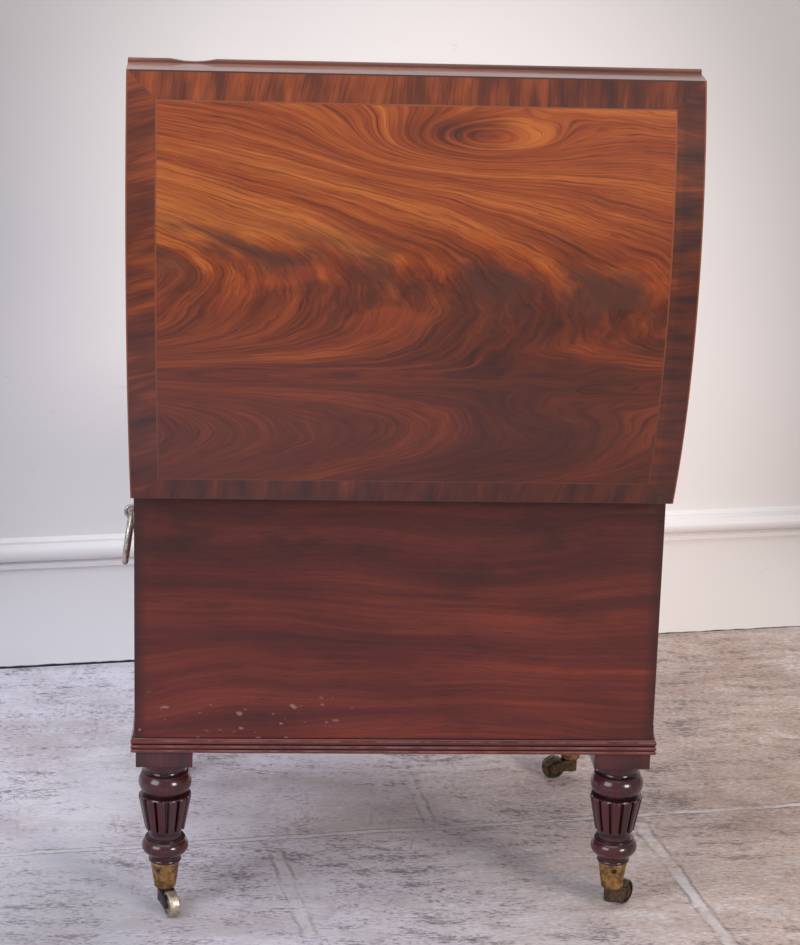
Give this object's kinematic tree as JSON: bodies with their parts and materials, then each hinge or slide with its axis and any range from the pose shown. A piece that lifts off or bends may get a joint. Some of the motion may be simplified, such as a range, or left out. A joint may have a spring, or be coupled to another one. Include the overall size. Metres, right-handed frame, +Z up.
{
  "type": "cellarette",
  "caption": "Domed-lid mahogany wine cooler on turned, reeded legs with brass castors, ring handles and a divided, lined interior; the lid stands open on its hinges.",
  "frame": {"origin": "on the floor under the middle of the carcase", "axes": "+Z up, +X to the right as seen from the front, the front (lock side) faces -Y, the hinges are at +Y"},
  "size_m": [0.6102, 0.582, 0.9424],
  "materials": {
    "mahogany": "french polish, semi-gloss",
    "back_mahogany": "oiled, satin",
    "moulding_mahogany": "french polish, gloss",
    "leg_mahogany": "french polish, gloss",
    "divider_mahogany": "waxed, matt",
    "flame_veneer": "french polish, semi-gloss",
    "crossband_veneer": "french polish, semi-gloss",
    "line_inlay": "french polish, semi-gloss",
    "castor_cup_brass": "aged, satin",
    "castor_wheel_brass": "worn, satin",
    "castor_bronze": "dark patina, satin",
    "handle_brass": "tarnished, satin",
    "cabinet_brass": "aged, satin",
    "steel": "worn, satin",
    "zinc": "dull, matt"
  },
  "bodies": {
    "carcase": {"back_panel": "back_mahogany", "base_cove": "moulding_mahogany", "base_moulding_back": "moulding_mahogany", "base_moulding_front": "moulding_mahogany", "base_moulding_left": "moulding_mahogany", "base_moulding_right": "moulding_mahogany", "bottom_board": "mahogany", "castor_cup_back_left": "castor_cup_brass", "castor_cup_back_right": "castor_cup_brass", "castor_cup_front_left": "castor_cup_brass", "castor_cup_front_right": "castor_cup_brass", "castor_cup_screws": "steel", "dividers_cross": "divider_mahogany", "dividers_long": "divider_mahogany", "front_panel": "mahogany", "handle_eye_left": "handle_brass", "handle_eye_right": "handle_brass", "handle_nuts": "steel", "handle_rose_left": "handle_brass", "handle_rose_right": "handle_brass", "hinge_leaf_carcase_left": "cabinet_brass", "hinge_leaf_carcase_right": "cabinet_brass", "hinge_pins": "steel", "hinge_screws_carcase": "steel", "leg_back_left": "leg_mahogany", "leg_back_right": "leg_mahogany", "leg_front_left": "leg_mahogany", "leg_front_right": "leg_mahogany", "liner": "zinc", "lock_case": "cabinet_brass", "lock_escutcheon": "cabinet_brass", "side_left": "mahogany", "side_right": "mahogany"},
    "lid": {"hinge_leaf_lid_left": "cabinet_brass", "hinge_leaf_lid_right": "cabinet_brass", "hinge_screws_lid": "steel", "lid_arris_line": "line_inlay", "lid_back_rail": "mahogany", "lid_bead": "mahogany", "lid_crossband": "crossband_veneer", "lid_end_left": "mahogany", "lid_end_right": "mahogany", "lid_field_veneer": "flame_veneer", "lid_front_rail": "mahogany", "lid_staves": "mahogany", "lid_stringing": "line_inlay", "lock_link_plate": "steel"},
    "horn_back_left": {"castor_horn_back_left": "castor_bronze"},
    "horn_back_right": {"castor_horn_back_right": "castor_bronze"},
    "horn_front_left": {"castor_horn_front_left": "castor_bronze"},
    "horn_front_right": {"castor_horn_front_right": "castor_bronze"},
    "wheel_back_left": {"castor_wheel_back_left": "castor_wheel_brass"},
    "wheel_back_right": {"castor_wheel_back_right": "castor_wheel_brass"},
    "wheel_front_left": {"castor_wheel_front_left": "castor_wheel_brass"},
    "wheel_front_right": {"castor_wheel_front_right": "castor_wheel_brass"},
    "ring_left": {"handle_ring_left": "handle_brass"},
    "ring_right": {"handle_ring_right": "handle_brass"},
    "bolt": {"lock_bolt": "steel"},
    "key": {"lock_key": "cabinet_brass"}
  },
  "joints": [
    {"name": "lid_hinge", "type": "hinge", "parent": "carcase", "child": "lid", "pos_m": [0, 0.219, 0.498], "axis": [1, 0, 0], "range_deg": [0, 96.95]},
    {"name": "ring_right_swing", "type": "hinge", "parent": "carcase", "child": "ring_right", "pos_m": [0.2937, 0, 0.4006], "axis": [0, -1, 0], "range_deg": [0, 160]},
    {"name": "ring_left_swing", "type": "hinge", "parent": "carcase", "child": "ring_left", "pos_m": [-0.2937, 0, 0.4006], "axis": [0, 1, 0], "range_deg": [0, 160]},
    {"name": "swivel_front_left", "type": "hinge", "parent": "carcase", "child": "horn_front_left", "pos_m": [-0.2485, -0.1915, 0.02], "axis": [0, 0, 1], "continuous": true},
    {"name": "wheel_front_left_spin", "type": "hinge", "parent": "horn_front_left", "child": "wheel_front_left", "pos_m": [-0.2268, -0.1915, 0.014], "axis": [0, 1, 0], "continuous": true},
    {"name": "swivel_front_right", "type": "hinge", "parent": "carcase", "child": "horn_front_right", "pos_m": [0.2485, -0.1915, 0.02], "axis": [0, 0, 1], "continuous": true},
    {"name": "wheel_front_right_spin", "type": "hinge", "parent": "horn_front_right", "child": "wheel_front_right", "pos_m": [0.24108, -0.21189, 0.014], "axis": [0.9397, -0.342, 0], "continuous": true},
    {"name": "swivel_back_left", "type": "hinge", "parent": "carcase", "child": "horn_back_left", "pos_m": [-0.2485, 0.1915, 0.02], "axis": [0, 0, 1], "continuous": true},
    {"name": "wheel_back_left_spin", "type": "hinge", "parent": "horn_back_left", "child": "wheel_back_left", "pos_m": [-0.26357, 0.17589, 0.014], "axis": [0.7193, -0.6947, 0], "continuous": true},
    {"name": "swivel_back_right", "type": "hinge", "parent": "carcase", "child": "horn_back_right", "pos_m": [0.2485, 0.1915, 0.02], "axis": [0, 0, 1], "continuous": true},
    {"name": "wheel_back_right_spin", "type": "hinge", "parent": "horn_back_right", "child": "wheel_back_right", "pos_m": [0.24072, 0.21176, 0.014], "axis": [-0.9336, -0.3584, 0], "continuous": true},
    {"name": "key_turn", "type": "hinge", "parent": "carcase", "child": "key", "pos_m": [0, -0.223, 0.46585], "axis": [0, -1, 0], "range_deg": [0, 90]},
    {"name": "bolt_slide", "type": "slide", "parent": "carcase", "child": "bolt", "axis": [1, 0, 0], "range_m": [0, 0.007]}
  ],
  "couplings": [
    {"joint": "bolt_slide", "follows": "key_turn", "m_per_rad": 0.004456}
  ]
}
